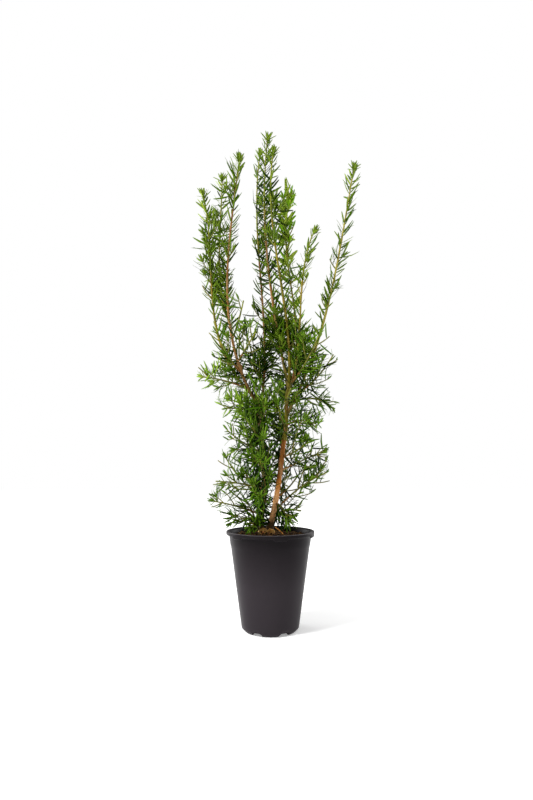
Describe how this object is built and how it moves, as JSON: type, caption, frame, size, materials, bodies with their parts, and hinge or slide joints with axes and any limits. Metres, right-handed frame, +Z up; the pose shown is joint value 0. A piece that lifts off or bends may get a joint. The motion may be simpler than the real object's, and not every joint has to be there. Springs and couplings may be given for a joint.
{
  "type": "potted hicksii yew",
  "caption": "Young upright yew with tall needled leading shoots over a bushy foot of side sprays, on two woody stems, in a filled plastic nursery pot.",
  "frame": {"origin": "centre of the pot's flat underside, on the centre pad that is level with the six feet", "axes": "+Z up along the pot's axis, +X to the right of the front view, +Y to its far side"},
  "size_m": [0.3147, 0.1917, 0.9309],
  "materials": {
    "pot_plastic": "moulded charcoal black plastic, satin",
    "potting_soil": "dark brown moist potting mix with bark bits",
    "trunk_bark": "orange-brown flaking bark",
    "bough_bark": "brown to olive young bark",
    "shoot_foliage": "satin green needles on olive shoots",
    "spray_foliage": "satin dark green needles"
  },
  "bodies": {
    "root": {"bough_far_left": "bough_bark", "bough_far_right": "bough_bark", "bough_front": "bough_bark", "bough_left_front": "bough_bark", "bough_mid_left": "bough_bark", "bough_right": "bough_bark", "bough_right_back": "bough_bark", "bough_right_front": "bough_bark", "bough_top": "bough_bark", "pot": "pot_plastic", "shoot_far_left": "shoot_foliage", "shoot_far_right": "shoot_foliage", "shoot_front": "shoot_foliage", "shoot_left_back": "shoot_foliage", "shoot_left_front": "shoot_foliage", "shoot_mid_left": "shoot_foliage", "shoot_right_back": "shoot_foliage", "shoot_right_front": "shoot_foliage", "shoot_top": "shoot_foliage", "soil": "potting_soil", "spray_10": "spray_foliage", "spray_11": "spray_foliage", "spray_12": "spray_foliage", "spray_13": "spray_foliage", "spray_14": "spray_foliage", "spray_15": "spray_foliage", "spray_16": "spray_foliage", "spray_17": "spray_foliage", "spray_18": "spray_foliage", "spray_19": "spray_foliage", "spray_20": "spray_foliage", "spray_21": "spray_foliage", "spray_22": "spray_foliage", "spray_23": "spray_foliage", "spray_24": "spray_foliage", "spray_25": "spray_foliage", "spray_26": "spray_foliage", "spray_27": "spray_foliage", "spray_28": "spray_foliage", "spray_29": "spray_foliage", "spray_30": "spray_foliage", "spray_31": "spray_foliage", "spray_32": "spray_foliage", "spray_33": "spray_foliage", "spray_34": "spray_foliage", "spray_35": "spray_foliage", "spray_36": "spray_foliage", "spray_37": "spray_foliage", "spray_38": "spray_foliage", "spray_39": "spray_foliage", "spray_40": "spray_foliage", "spray_41": "spray_foliage", "spray_42": "spray_foliage", "spray_43": "spray_foliage", "spray_44": "spray_foliage", "spray_45": "spray_foliage", "spray_46": "spray_foliage", "stem_left": "bough_bark", "trunk": "trunk_bark"}
  },
  "joints": []
}
